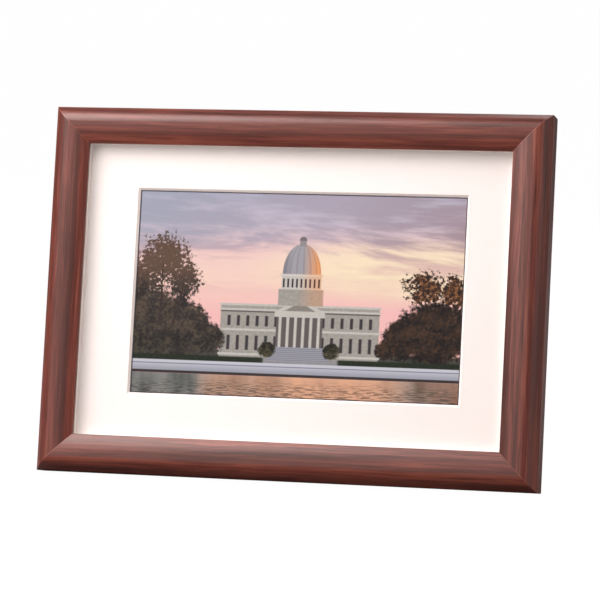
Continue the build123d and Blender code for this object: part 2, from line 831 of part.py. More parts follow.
with BuildPart() as cover_screws:
    with BuildSketch(level(-cover_thickness)):
        with Locations(*cover_screw_spots()):
            Circle(cover_screw_radius)
    extrude(amount=cover_screw_length)
    with BuildSketch(level(-cover_thickness)):
        with Locations(*cover_screw_spots()):
            Circle(cover_screw_head)
    extrude(amount=screw_sink, taper=45)
    with BuildSketch(level(-cover_thickness)):
        with Locations(*cover_screw_spots()):
            Rectangle(2.8, 0.7)
            Rectangle(0.7, 2.8)
    extrude(amount=1.0, mode=Mode.SUBTRACT)
write(cover_screws, "cover_screws")

with BuildPart() as wall_bumpers:
    bumper_x = housing_side - 12
    bumper_spots = [(-bumper_x, housing_bottom + 12), (bumper_x, housing_bottom + 12)]
    with BuildSketch(level(housing_back - bumper_height)):
        with Locations(*bumper_spots):
            Circle(bumper_radius)
    extrude(amount=bumper_height)
    fillet(edges().group_by(Axis(place(0, 0, 0), out_front))[0], 0.6)
write(wall_bumpers, "wall_bumpers")

# ---------------------------------------------------------------- buttons
button_names = ("next_button", "previous_button", "menu_button", "power_button")
flange_x = wall_inside - 0.2 - button_flange_thickness
for name, v in zip(button_names, button_spots):
    with BuildPart() as button:
        with BuildSketch(facing_right(flange_x, v, button_w)):
            Circle(button_flange)
        extrude(amount=button_flange_thickness)
        with BuildSketch(facing_right(flange_x, v, button_w)):
            Circle(button_radius)
        extrude(amount=housing_side + button_proud - flange_x)
        fillet(edges().group_by(Axis.X)[-1], 0.5)
        with BuildSketch(facing_right(stem_end, v, button_w)):
            Circle(1.2)
        extrude(amount=flange_x - stem_end)
    write(button, name)

# ---------------------------------------------------------------- stand leg
leg_down = Vector(0, sin(leg_tilt), -cos(leg_tilt))
leg_out = Vector(0, cos(leg_tilt), sin(leg_tilt))
hinge_point = place(0, hinge_v, hinge_w)
leg_length = hinge_rise / cos(leg_tilt)
heel_reach = channel_floor - hinge_w - heel_gap
heel_start = (heel_reach - leg_front * cos(swing)) / sin(swing)
heel_end = (leg_heel * sin(swing) - heel_reach) / cos(swing)
leg_face = Plane(origin=hinge_point - leg_out * leg_front, x_dir=(1, 0, 0), z_dir=leg_out)
pocket_start = barrel_radius + 3
pocket_end = leg_length - pad_depth
rib_count = int((pocket_end - pocket_start) / leg_rib_pitch)

with BuildPart() as stand_leg:
    with BuildSketch(Plane(origin=hinge_point, x_dir=leg_down, z_dir=(1, 0, 0))):
        with BuildLine():
            Polyline(
                (leg_length + 4, -leg_front),
                (-heel_start, -leg_front),
                (-leg_heel, heel_end),
                (-leg_heel, leg_rear),
                (leg_length + 4, leg_rear),
                close=True,
            )
        make_face()
        Circle(barrel_radius)
    extrude(amount=leg_width / 2, both=True)
    with BuildSketch(leg_face.offset(-barrel_radius)):
        with BuildLine():
            Polyline(
                (-leg_width / 2, -leg_heel),
                (-leg_width / 2, pocket_start),
                (-leg_foot_width / 2, leg_length + 4),
                (leg_foot_width / 2, leg_length + 4),
                (leg_width / 2, pocket_start),
                (leg_width / 2, -leg_heel),
                close=True,
            )
        make_face()
        fillet(vertices().group_by(Axis.Y)[0], 3)
    extrude(amount=4 * barrel_radius, mode=Mode.INTERSECT)
    # Hollow towards the frame, stiffened by cross ribs
    with BuildSketch(leg_face):
        with BuildLine():
            Polyline(
                (-leg_width / 2 + leg_rim, pocket_start),
                (-leg_foot_width / 2 + leg_rim, pocket_end),
                (leg_foot_width / 2 - leg_rim, pocket_end),
                (leg_width / 2 - leg_rim, pocket_start),
                close=True,
            )
        make_face()
        with Locations((0, (pocket_start + pocket_end) / 2)):
            with GridLocations(0, leg_rib_pitch, 1, rib_count):
                Rectangle(leg_width, leg_rim, mode=Mode.SUBTRACT)
    extrude(amount=leg_thickness - leg_skin, mode=Mode.SUBTRACT)
    split(bisect_by=Plane.XY.offset(pad_thickness), keep=Keep.TOP)
    with BuildSketch(facing_right(-leg_width / 2, hinge_v, hinge_w)):
        Circle(pin_radius + pin_running_clearance)
    extrude(amount=leg_width, mode=Mode.SUBTRACT)
write(stand_leg, "stand_leg")

with BuildPart() as foot_pad:
    with BuildSketch(Plane.XY):
        with Locations((0, edge_y + foot_reach)):
            RectangleRounded(leg_foot_width + 1, pad_depth, 2)
    extrude(amount=pad_thickness)
write(foot_pad, "foot_pad")

with BuildPart() as hinge_pin:
    with BuildSketch(facing_right(-pin_half, hinge_v, hinge_w)):
        Circle(pin_radius)
    extrude(amount=2 * pin_half)
    chamfer(edges().filter_by(GeomType.CIRCLE), 0.3)
write(hinge_pin, "hinge_pin")

with BuildPart() as hinge_washers:
    for side in (-1, 1):
        with BuildSketch(facing_right(side * channel_half, hinge_v, hinge_w)):
            Circle(washer_radius)
            Circle(pin_radius + pin_running_clearance, mode=Mode.SUBTRACT)
        extrude(amount=-side * washer_thickness)
write(hinge_washers, "hinge_washers")
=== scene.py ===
"""Looks for a table-top digital photo frame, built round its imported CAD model.

Laid out as a Blender add-on: each operator finishes one piece or one group of like pieces, and
main() runs them in order. Lengths are in metres unless a name says otherwise.
"""

import json
import math

import bpy
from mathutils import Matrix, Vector

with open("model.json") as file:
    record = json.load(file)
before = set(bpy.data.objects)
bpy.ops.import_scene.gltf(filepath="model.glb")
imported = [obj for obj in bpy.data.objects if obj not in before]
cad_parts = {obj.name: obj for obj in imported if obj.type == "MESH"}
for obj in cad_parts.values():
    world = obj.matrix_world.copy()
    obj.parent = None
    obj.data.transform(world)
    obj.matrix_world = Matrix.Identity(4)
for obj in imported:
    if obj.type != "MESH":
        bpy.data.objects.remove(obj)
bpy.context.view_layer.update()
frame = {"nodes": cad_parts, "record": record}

bl_info = {
    "name": "Digital Photo Frame Finish",
    "version": (1, 0, 0),
    "blender": (4, 5, 0),
    "location": "View3D > Sidebar > Photo Frame",
    "description": "Wood, mat, screen, housing and studio for a digital photo frame",
    "category": "Object",
}

NODES = frame["nodes"]

# The frame leans back, so its own directions come from the keyholes, which look out of its back.
KEYHOLE = [m for m in frame["record"]["mounts"] if m["name"] == "keyhole_left"][0]
OUT = -Vector(KEYHOLE["axis"]).normalized()
RIGHT = Vector((1, 0, 0))
UP = OUT.cross(RIGHT)


def reach(node, direction):
    """Lowest and highest point of a CAD node along a direction."""
    along = [v.co.dot(direction) for v in NODES[node].data.vertices]
    return min(along), max(along)


BACK = reach("top_rail", OUT)[0]
FOOT_EDGE = reach("top_rail", UP)[1] - (reach("left_stile", UP)[1] - reach("left_stile", UP)[0])
TOP_EDGE = reach("top_rail", UP)[1]
HALF_WIDTH = reach("top_rail", RIGHT)[1]
MIDDLE = (TOP_EDGE + FOOT_EDGE) / 2
HALF_HEIGHT = (TOP_EDGE - FOOT_EDGE) / 2


# ------------------------------------------------------------------ shader maths
class Value:
    """A socket of a node tree that takes part in Python arithmetic."""

    def __init__(self, shader, socket):
        self.shader = shader
        self.socket = socket

    def math(self, operation, *others):
        settings = {"operation": operation}
        return self.shader.node("ShaderNodeMath", settings, (self, *others)).out()

    def __add__(self, other):
        return self.math("ADD", other)

    __radd__ = __add__

    def __sub__(self, other):
        return self.math("SUBTRACT", other)

    def __rsub__(self, other):
        settings = {"operation": "SUBTRACT"}
        return self.shader.node("ShaderNodeMath", settings, (other, self)).out()

    def __mul__(self, other):
        return self.math("MULTIPLY", other)

    __rmul__ = __mul__

    def __truediv__(self, other):
        return self.math("DIVIDE", other)

    def __pow__(self, other):
        return self.math("POWER", other)

    def __gt__(self, other):
        return self.math("GREATER_THAN", other)

    def __abs__(self):
        return self.math("ABSOLUTE")

    def larger(self, other):
        return self.math("MAXIMUM", other)

    def smaller(self, other):
        return self.math("MINIMUM", other)

    def fraction(self):
        return self.math("FRACT")

    def wave(self):
        return self.math("SINE")

    def dot(self, direction):
        settings = {"operation": "DOT_PRODUCT"}
        product = self.shader.node("ShaderNodeVectorMath", settings, (self, tuple(direction)))
        return product.out("Value")

    def step(self, low, high):
        """0 below low, 1 above high and smooth between; low may be the larger one."""
        settings = {"interpolation_type": "SMOOTHSTEP", "clamp": True}
        links = {"Value": self, "From Min": low, "From Max": high}
        return self.shader.node("ShaderNodeMapRange", settings, links).out("Result")


class Placed:
    """A node that has been added, with its outputs."""

    def __init__(self, shader, node):
        self.shader = shader
        self.node = node

    def out(self, name=0):
        return Value(self.shader, self.node.outputs[name])


class Shader:
    """A material's nodes; constants are set on the Principled shader's own sockets."""

    def __init__(self, name, **constants):
        self.material = bpy.data.materials.new(name)
        self.material.use_nodes = True
        self.tree = self.material.node_tree
        self.surface = self.tree.nodes["Principled BSDF"]
        for socket, value in constants.items():
            self.surface.inputs[socket.replace("_", " ")].default_value = value
        self.place = self.node("ShaderNodeTexCoord").out("Object")

    def node(self, kind, settings=None, inputs=()):
        """Add a node: its settings first, then values or links for its sockets."""
        node = self.tree.nodes.new(kind)
        for key, value in (settings or {}).items():
            if key == "stops":
                self.stops(node.color_ramp, value)
            else:
                setattr(node, key, value)
        pairs = inputs.items() if isinstance(inputs, dict) else enumerate(inputs)
        for key, value in pairs:
            self.feed(node.inputs[key], value)
        return Placed(self, node)

    def feed(self, socket, value):
        if isinstance(value, Value):
            self.tree.links.new(value.socket, socket)
        elif isinstance(value, Vector):
            socket.default_value = tuple(value)
        else:
            socket.default_value = value

    def stops(self, ramp, stops):
        while len(ramp.elements) < len(stops):
            ramp.elements.new(0.5)
        for element, (position, colour) in zip(ramp.elements, stops):
            element.position = position
            element.color = (*colour, 1)

    def ramp(self, value, stops):
        return self.node("ShaderNodeValToRGB", {"stops": stops}, (value,)).out("Color")

    def mix(self, factor, a, b):
        """Colour a where factor is 0 and b where it is 1."""
        node = self.tree.nodes.new("ShaderNodeMix")
        node.data_type = "RGBA"
        self.feed(node.inputs["Factor"], factor)
        for index, colour in ((6, a), (7, b)):
            self.feed(node.inputs[index], (*colour, 1) if isinstance(colour, tuple) else colour)
        return Value(self, node.outputs[2])

    def vector(self, x, y, z):
        return self.node("ShaderNodeCombineXYZ", None, (x, y, z)).out()

    def noise(self, place, scale, detail=3.0, roughness=0.55, distortion=0.0):
        links = {"Vector": place, "Scale": scale, "Detail": detail, "Roughness": roughness,
                 "Distortion": distortion}
        return self.node("ShaderNodeTexNoise", None, links).out("Fac")

    def cells(self, place, scale):
        links = {"Vector": place, "Scale": scale}
        return self.node("ShaderNodeTexVoronoi", None, links).out("Distance")

    def finish(self, colour=None, rough=None, emission=None, bumps=()):
        """Link what varies; bumps are (height, strength, distance), from coarse to fine."""
        surface = self.surface.inputs
        varied = {"Base Color": colour, "Roughness": rough, "Emission Color": emission}
        for socket, value in varied.items():
            if value is not None:
                self.feed(surface[socket], value)
        normal = None
        for height, strength, distance in bumps:
            links = {"Height": height, "Strength": strength, "Distance": distance}
            if normal is not None:
                links["Normal"] = normal
            normal = self.node("ShaderNodeBump", None, links).out()
        if normal is not None:
            self.feed(surface["Normal"], normal)
        return self.material


def dress(node, material):
    """Give a CAD node's slots a material."""
    data = NODES[node].data
    if not data.materials:
        data.materials.append(material)
    for index in range(len(data.materials)):
        data.materials[index] = material


def srgb(red, green, blue):
    """A colour given in the usual 0 to 255 steps, as the linear values that a socket takes."""
    shares = (red / 255, green / 255, blue / 255)
    return tuple(c / 12.92 if c < 0.0404 else ((c + 0.055) / 1.055) ** 2.4 for c in shares)


# ------------------------------------------------------------------ wood
# Where the dark streak runs, in metres in from each rail's outer edge: part wood figure, part
# painted shade along the band of each rail's curved face that lies in shade.
STREAK_AND_SHADE_AT = {"top_rail": 0.0172, "bottom_rail": 0.0108, "left_stile": 0.0172, "right_stile": 0.0138}
WANDER = 0.006  # how far the figure drifts sideways
STREAK_WANDER = 0.007
STREAK_FADE, STREAK_CORE = 0.0024, 0.0004  # half widths of the dark streak, part wood figure and part painted shade
MITRE_FADE, MITRE_CORE = 0.00042, 0.0001  # half widths of the painted highlight line along a mitre
MITRE_GROOVE = 0.0003
CONTRAST = 1.6


def wood(name, grain, across, half_length, half_across, seed, streak_and_shade_at):
    """Red-brown hardwood along one rail, with a dark streak at a given distance from its edge that
    is part wood figure and part painted shade.
    """
    look = bpy.context.scene.photo_frame_wood
    s = Shader(name, Coat_Weight=look.coat, Coat_Roughness=0.36, Specular_IOR_Level=0.45)
    dark_streak = tuple(look.dark_streak)
    along = s.place.dot(grain)
    side = s.place.dot(across)
    height = s.place.dot(OUT)
    drift = s.noise(s.vector(along * 9, side * 20, height * 20 + seed), 1.0, 2.0)
    bent = side + (drift - 0.5) * WANDER

    def figure(lengthwise, crosswise, detail, roughness=0.55, distortion=0.0, over=bent):
        """Noise drawn out along the grain, its two scales in waves per metre."""
        place = s.vector(along * lengthwise + seed, over * crosswise, height * crosswise)
        return s.noise(place, 1.0, detail, roughness, distortion)

    bands = figure(5, 95, 4.0, 0.62, 0.3)
    fine = figure(16, 760, 4.0, 0.6)
    fibres = s.noise(s.vector(along * 60, side * 2600, height * 2600 + seed), 1.0, 2.0)
    pore = figure(130, 1900, 1.0, over=side).step(0.66, 0.74) * fine.step(0.42, 0.58)
    tone = (bands * 0.5 + fine * 0.4 + fibres * 0.14 - 0.5) * CONTRAST + 0.5
    colour = s.ramp(tone, [
        (0.30, look.dark_streak),
        (0.42, look.brown),
        (0.53, look.red_brown),
        (0.66, look.light_brown),
    ])
    # short flecks, long runs and the dark streak of wood figure and painted shade, then paler
    # patches and the pores
    flecks = figure(22, 780, 2.0, 0.5).step(0.57, 0.68) * bands.step(0.35, 0.6)
    runs = figure(5, 210, 3.0, 0.6).step(0.56, 0.66)
    side_in = half_across - abs(side - (0 if across == RIGHT else MIDDLE))
    # painted shade: this dark streak also darkens the band of the curved face that lies in shade
    streak_and_shade_mask = abs(side_in + (drift - 0.5) * STREAK_WANDER - streak_and_shade_at).step(STREAK_FADE, STREAK_CORE)
    colour = s.mix(flecks * 0.7, colour, dark_streak)
    colour = s.mix(runs * 0.45, colour, dark_streak)
    colour = s.mix(streak_and_shade_mask * (fine.step(0.35, 0.6) * 0.45 + 0.2), colour, dark_streak)
    patch = s.noise(s.vector(along * 5, side * 30, seed), 1.0, 2.0)
    colour = s.mix(patch.step(0.35, 0.7) * 0.35, colour, tuple(look.red_brown))
    colour = s.mix(pore * 0.55, colour, tuple(look.pore))
    # a mitre runs where a point is as far from the rail's end as from its outer edge
    edge_in = half_length - abs(along - (0 if grain == RIGHT else MIDDLE))
    joint = abs(edge_in - side_in)
    # painted highlight: a pale line along each mitre, where the mitre's edge catches the light
    colour = s.mix(joint.step(MITRE_FADE, MITRE_CORE) * 0.38, colour, tuple(look.mitre_highlight))
    rough = fine * 0.24 + bands * 0.12 + pore * 0.2 + look.roughness - 0.18
    return s.finish(colour, rough, bumps=[
        (fine + bands * 0.6, 0.07, 0.0004),
        (1 - pore, 0.35, 0.00012),
        (1 - joint.step(MITRE_GROOVE, 0.0), 0.5, 0.0002),
    ])


class WoodLook(bpy.types.PropertyGroup):
    red_brown: bpy.props.FloatVectorProperty(
        name="Red-brown", description="The wood's main colour", subtype="COLOR",
        default=srgb(100, 42, 31), min=0, max=1)
    brown: bpy.props.FloatVectorProperty(
        name="Brown", description="Colour of the darker bands", subtype="COLOR",
        default=srgb(80, 31, 22), min=0, max=1)
    dark_streak: bpy.props.FloatVectorProperty(
        name="Dark streak", description="Colour of the darkest streaks", subtype="COLOR",
        default=srgb(48, 17, 11), min=0, max=1)
    light_brown: bpy.props.FloatVectorProperty(
        name="Light brown", description="Colour of the palest bands", subtype="COLOR",
        default=srgb(131, 66, 50), min=0, max=1)
    pore: bpy.props.FloatVectorProperty(
        name="Pore", description="Colour inside the pores", subtype="COLOR",
        default=srgb(34, 13, 9), min=0, max=1)
    # painted highlight along each mitre, where the mitre's edge catches the light
    mitre_highlight: bpy.props.FloatVectorProperty(
        name="Mitre line", description="Colour of the filled line at each mitre", subtype="COLOR",
        default=srgb(172, 112, 96), min=0, max=1)
    roughness: bpy.props.FloatProperty(
        name="Roughness", description="Roughness of the satin varnish", subtype="FACTOR",
        default=0.42, min=0, max=1)
    coat: bpy.props.FloatProperty(
        name="Varnish", description="Weight of the clear coat", subtype="FACTOR",
        default=0.2, min=0, max=1)


class FRAME_OT_wooden_moulding(bpy.types.Operator):
    """Stained hardwood on the four mitred rails"""

    bl_idname = "photo_frame.wooden_moulding"
    bl_label = "Wooden moulding"

    def execute(self, context):
        lying = (RIGHT, UP, HALF_WIDTH, HALF_HEIGHT)
        standing = (UP, RIGHT, HALF_HEIGHT, HALF_WIDTH)
        for index, (node, streak_and_shade_at) in enumerate(STREAK_AND_SHADE_AT.items()):
            rail = lying if node.endswith("rail") else standing
            dress(node, wood(f"wood_{node}", *rail, 3.7 * index + 1.3, streak_and_shade_at))
        return {"FINISHED"}


# ------------------------------------------------------------------ glass, spacers and mat
FACE_DEPTH, BEVEL_DEPTH = 0.00004, 0.0001  # where the mat's face paper ends and its core shows
CLOUDED = 0.955  # how dark the cloudiest paper is, as a share of the clear paper


class MatLook(bpy.types.PropertyGroup):
    paper: bpy.props.FloatVectorProperty(
        name="Mat", description="Colour of the mat's face paper", subtype="COLOR",
        default=srgb(249, 248, 247), min=0, max=1)
    core: bpy.props.FloatVectorProperty(
        name="Core", description="Colour of the cut bevel", subtype="COLOR",
        default=srgb(249, 244, 241), min=0, max=1)
    glass_alpha: bpy.props.FloatProperty(
        name="Glass", description="How much the clear front sheet shows", subtype="FACTOR",
        default=0.015, min=0, max=1)


class FRAME_OT_mat_and_glass(bpy.types.Operator):
    """Front glass, white spacer strips and the bevelled mat"""

    bl_idname = "photo_frame.mat_and_glass"
    bl_label = "Mat and glass"

    def execute(self, context):
        look = context.scene.photo_frame_mat
        s = Shader("front_glass_clear", Roughness=0.08, IOR=1.5, Alpha=look.glass_alpha)
        haze = s.noise(s.place, 60.0, 2.0)
        tint = s.ramp(haze, [(0.3, (0.05, 0.06, 0.06)), (0.7, (0.08, 0.09, 0.09))])
        dress("front_glass", s.finish(tint))

        s = Shader("mat_paper", Roughness=0.9, Specular_IOR_Level=0.25)
        depth = reach("mat_board", OUT)[1] - s.place.dot(OUT)
        bevel = depth.step(FACE_DEPTH, BEVEL_DEPTH)
        fibre = s.noise(s.place, 2400.0, 3.0, 0.6)
        cloud = s.noise(s.place, 60.0, 3.0)
        grey = (fibre * 0.5 + cloud * 0.5).step(0.2, 0.8)
        face = s.mix(grey * 0.35, tuple(look.paper), tuple(c * CLOUDED for c in look.paper))
        colour = s.mix(bevel, face, tuple(look.core))
        dress("mat_board", s.finish(colour, fibre * 0.1 + 0.82, bumps=[(fibre, 0.12, 0.0001)]))

        s = Shader("spacer_white", Roughness=0.6, Specular_IOR_Level=0.35)
        layers = s.vector(s.place.dot(RIGHT) * 300, s.place.dot(UP) * 300, s.place.dot(OUT) * 1500)
        streak = s.noise(layers, 1.0, 2.0)
        colour = s.ramp(streak, [(0.3, srgb(240, 232, 226)), (0.7, srgb(248, 242, 238))])
        dress("mat_spacers", s.finish(colour, bumps=[(streak, 0.08, 0.0001)]))
        return {"FINISHED"}


# ------------------------------------------------------------------ the screen and its picture
FACE_SKIN = 0.0002  # only this much of the display's front is lit


class Picture:
    """Paints layers over each other in the screen's own coordinates, both from 0 to 1."""

    def __init__(self, shader, across, down):
        self.s = shader
        self.x = across
        self.y = down
        self.colour = None

    def lay(self, mask, colour):
        """Paint a colour over what is there where the mask is 1."""
        self.colour = self.s.mix(mask, self.colour, colour)

    def block(self, left, right, top, bottom, soft=0.002):
        """A rectangle with slightly soft edges."""
        wide = self.x.step(left - soft, left + soft) * self.x.step(right + soft, right - soft)
        high = self.y.step(top - soft, top + soft) * self.y.step(bottom + soft, bottom - soft)
        return wide * high

    def oval(self, x, y, half_width, half_height, soft=0.06, rough=0.0):
        """An ellipse; rough is an amount added to its distance, such as a noise."""
        far = ((self.x - x) / half_width) ** 2 + ((self.y - y) / half_height) ** 2
        return (far + rough).step(1 + soft, 1 - soft)

    def row(self, left, pitch, share):
        """Evenly spaced uprights, such as columns or windows."""
        across = ((self.x - left) / pitch).fraction()
        half = share / 2
        return abs(across - 0.5).step(half + 0.08, half - 0.08)


def evening_sky(p):
    """Lavender over peach, with long slanting clouds and a yellow glow low on the right."""
    s = p.s
    clear = s.ramp(p.y + (p.x - 0.5) * 0.05, [
        (0.0, srgb(182, 180, 198)),
        (0.16, srgb(206, 190, 204)),
        (0.28, srgb(246, 206, 200)),
        (0.42, srgb(250, 212, 196)),
        (0.58, srgb(248, 190, 186)),
    ])
    glow = p.oval(0.86, 0.37, 0.4, 0.13, 0.95)
    clear = s.mix(glow * 0.8, clear, srgb(254, 234, 196))
    slant = p.y - p.x * 0.08
    broad = s.noise(s.vector(p.x * 1.9, slant * 6.0, 5.6), 1.0, 6.0, 0.6, 0.35)
    wisps = s.noise(s.vector(p.x * 5.0, slant * 22, 2.9), 1.0, 4.0, 0.62, 0.2)
    cover = (broad * 0.8 + wisps * 0.2).step(0.42, 0.56)
    dusk = s.ramp(p.x * 0.8 + p.y * 0.6, [
        (0.1, srgb(164, 165, 182)),
        (0.5, srgb(174, 162, 178)),
        (0.95, srgb(160, 136, 144)),
    ])
    warm = s.mix(p.y.step(0.2, 0.42), dusk, srgb(226, 176, 174))
    p.colour = s.mix(cover * p.y.step(0.6, 0.25) * 0.9, clear, warm)


def stand_of_trees(p, crowns, rough, colour):
    """Overlapping crowns with a ragged edge."""
    for x, y, half_width, half_height in crowns:
        p.lay(p.oval(x, y, half_width, half_height, 0.2, rough), colour)


# Places in the picture, as shares of its width or height.
AXIS = 0.51  # middle of the hall
HALL = (0.27, 0.75)
PORCH = (0.44, 0.58)
DRUM = (0.45, 0.57)
GABLE_PITCH = 0.9
SPRING, DOME_RISE, DOME_HALF = 0.396, 0.145, 0.058
DOME_RIBS = 18
BANK, WALL_TOP, WALL_FOOT, SHORE = 0.768, 0.824, 0.876, 0.888


def domed_hall(p):
    """A plain two-storey stone hall with a columned porch and one smooth round dome."""
    s = p.s
    grain = s.noise(s.vector(p.x * 110, p.y * 70, 0.0), 1.0, 3.0)
    stone = s.mix(grain, srgb(132, 128, 124), srgb(188, 180, 170))
    pale = s.mix(grain, srgb(182, 176, 170), srgb(214, 206, 198))
    shade = srgb(98, 90, 88)
    dark = srgb(60, 55, 58)
    lit = p.x.step(0.49, 0.56)
    p.lay(p.block(-0.1, 1.1, BANK, 0.84), s.mix(grain, srgb(48, 50, 44), srgb(88, 88, 78)))
    paving = s.mix(grain, srgb(120, 116, 116), srgb(168, 164, 166))
    p.lay(p.block(0.36, 0.66, 0.79, 0.84), paving)
    # hall, its string courses and its two rows of windows
    p.lay(p.block(*HALL, 0.545, 0.80), stone)
    for y in (0.548, 0.572, 0.668, 0.785):
        p.lay(p.block(HALL[0] - 0.004, HALL[1] + 0.004, y - 0.005, y + 0.005, 0.0015), pale)
    p.lay(p.block(*HALL, 0.577, 0.584, 0.002), shade)
    windows = p.block(0.282, 0.738, 0.60, 0.65) + p.block(0.282, 0.738, 0.695, 0.765)
    p.lay(windows * p.row(0.282, 0.0285, 0.34), dark)
    # porch: dark behind, six columns, a low gable and broad steps
    p.lay(p.block(*PORCH, 0.585, 0.75), shade)
    p.lay(p.block(*PORCH, 0.60, 0.75) * p.row(PORCH[0], 0.0233, 0.36), pale)
    p.lay(p.block(0.434, 0.586, 0.58, 0.602), pale)
    off_axis = abs(p.x - AXIS)
    gable = (p.y - 0.51 - off_axis * GABLE_PITCH).step(-0.002, 0.002)
    p.lay(gable * p.block(0.434, 0.586, 0.50, 0.582), pale)
    inner = (p.y - 0.53 - off_axis * GABLE_PITCH).step(-0.002, 0.002)
    sunk = s.mix(grain, srgb(126, 118, 112), srgb(150, 140, 132))
    p.lay(inner * p.block(0.45, 0.57, 0.52, 0.573), sunk)
    flare = (p.y - 0.745) * 0.3
    steps = (flare + 0.075 - off_axis).step(-0.002, 0.002) * p.block(0.40, 0.62, 0.745, 0.812)
    treads = (p.y * 110).fraction().step(0.35, 0.65)
    p.lay(steps, s.mix(treads * 0.6, srgb(158, 156, 166), srgb(112, 110, 120)))
    # low drum with arches, then the dome and its plain round cap
    p.lay(p.block(0.442, 0.578, 0.468, 0.547), s.mix(lit * 0.4, stone, srgb(222, 152, 100)))
    p.lay(p.block(*DRUM, 0.402, 0.47), s.mix(lit * 0.6, pale, srgb(236, 166, 108)))
    arches = p.block(*DRUM, 0.418, 0.46) * p.row(DRUM[0], 0.0133, 0.42)
    p.lay(arches, s.mix(lit * 0.6, dark, srgb(112, 62, 42)))
    cornice = s.mix(lit * 0.6, srgb(212, 204, 198), srgb(246, 184, 122))
    p.lay(p.block(0.446, 0.574, 0.395, 0.407, 0.0015), cornice)
    shell = p.oval(AXIS, SPRING, DOME_HALF, DOME_RISE) * p.y.step(0.398, 0.394)
    curve = s.mix(p.x.step(0.505, 0.565), srgb(164, 160, 166), srgb(234, 158, 102))
    curve = s.mix(p.x.step(0.485, 0.452) * 0.6, curve, srgb(108, 104, 116))
    height = ((SPRING - p.y) / DOME_RISE).larger(0.0)
    turn = (p.x - AXIS) / ((1.02 - height * height).larger(0.01) ** 0.5 * DOME_HALF)
    ribs = ((turn * 0.95).math("ARCSINE") * DOME_RIBS).wave().step(0.3, 1.0)
    p.lay(shell, s.mix(ribs * 0.3, curve, srgb(116, 104, 104)))
    p.lay(p.block(0.5, 0.52, 0.235, 0.262, 0.001), srgb(150, 142, 142))
    p.lay(p.oval(AXIS, 0.236, 0.0115, 0.02) * p.y.step(0.238, 0.234), srgb(120, 112, 116))


# Crowns as (across, down, half width, half height), from the farthest to the nearest.
LEFT_TALL = [(0.085, 0.345, 0.085, 0.12), (0.03, 0.43, 0.06, 0.12), (0.15, 0.44, 0.055, 0.10)]
LEFT_LOW = [(0.06, 0.66, 0.13, 0.19), (0.17, 0.68, 0.07, 0.14), (0.235, 0.72, 0.05, 0.08)]
RIGHT_TALL = [(0.885, 0.45, 0.062, 0.085), (0.97, 0.47, 0.05, 0.09)]
RIGHT_LOW = [(0.92, 0.66, 0.12, 0.15), (0.82, 0.69, 0.06, 0.10), (0.775, 0.74, 0.035, 0.05)]
# Trunks as (across, top, lean).
TRUNKS = [(0.085, 0.36, 0.0), (0.13, 0.42, 0.12), (0.885, 0.44, 0.0), (0.955, 0.46, -0.1)]
BUSHES = (0.415, 0.61)
HEDGES = ((-0.1, 0.405), (0.63, 1.1))


def foreground(p):
    """Trees at both sides, round bushes, hedges and a low white wall."""
    s = p.s
    twigs = s.noise(s.vector(p.x * 95, p.y * 60, 8.0), 1.0, 5.0, 0.75)
    clumps = s.noise(s.vector(p.x * 24, p.y * 16, 2.0), 1.0, 3.0, 0.6)
    lace = (twigs - 0.48) * 5.5 + (clumps - 0.5) * 2.8
    mass = (twigs - 0.5) * 1.8 + (clumps - 0.5) * 1.2
    rise = p.y.step(0.5, 0.36)
    leaf = s.mix(rise * 0.8, srgb(56, 50, 47), srgb(104, 78, 64))
    leaf = s.mix(twigs.step(0.48, 0.64) * 0.5, leaf, srgb(128, 92, 70))
    stand_of_trees(p, LEFT_TALL, lace, leaf)
    tufts = (twigs * 0.55 + clumps * 0.45).step(0.42, 0.62)
    deep = s.mix(tufts * 0.75, srgb(44, 40, 38), srgb(104, 86, 72))
    shadow = s.mix(tufts, srgb(26, 27, 25), srgb(62, 62, 50))
    deep = s.mix(p.y.step(0.6, 0.8) * 0.7, deep, shadow)
    stand_of_trees(p, LEFT_LOW, mass, deep)
    for x, top, lean in TRUNKS:
        thick = (p.y - top) * 0.012 + 0.0012
        bend = (p.y - 0.62) * lean + (clumps - 0.5) * 0.02
        bough = (thick - abs(p.x - x + bend)).step(-0.001, 0.001)
        p.lay(bough * p.block(-0.1, 1.1, top, 0.66), srgb(58, 46, 42))
    autumn = s.mix(twigs.step(0.46, 0.6) * 0.7, srgb(44, 32, 28), srgb(168, 108, 62))
    stand_of_trees(p, RIGHT_TALL, lace, autumn)
    dusky = s.mix(tufts * 0.6, srgb(26, 23, 23), srgb(92, 64, 44))
    stand_of_trees(p, RIGHT_LOW, mass, dusky)
    for x in BUSHES:
        bush = s.mix(tufts, srgb(26, 28, 22), srgb(82, 76, 56))
        p.lay(p.oval(x, 0.762, 0.026, 0.038, 0.2, mass), bush)
    for left, right in HEDGES:
        hedge = s.mix(twigs, srgb(14, 22, 16), srgb(46, 56, 38))
        p.lay(p.block(left, right, 0.798, 0.83, 0.005), hedge)
    white = s.mix(p.y.step(0.828, 0.872), srgb(200, 198, 208), srgb(160, 160, 172))
    p.lay(p.block(-0.1, 1.1, WALL_TOP, WALL_FOOT), white)
    p.lay(p.block(-0.1, 1.1, 0.838, 0.843, 0.001), srgb(134, 132, 144))
    p.lay(p.block(-0.1, 1.1, 0.874, SHORE), srgb(58, 50, 48))


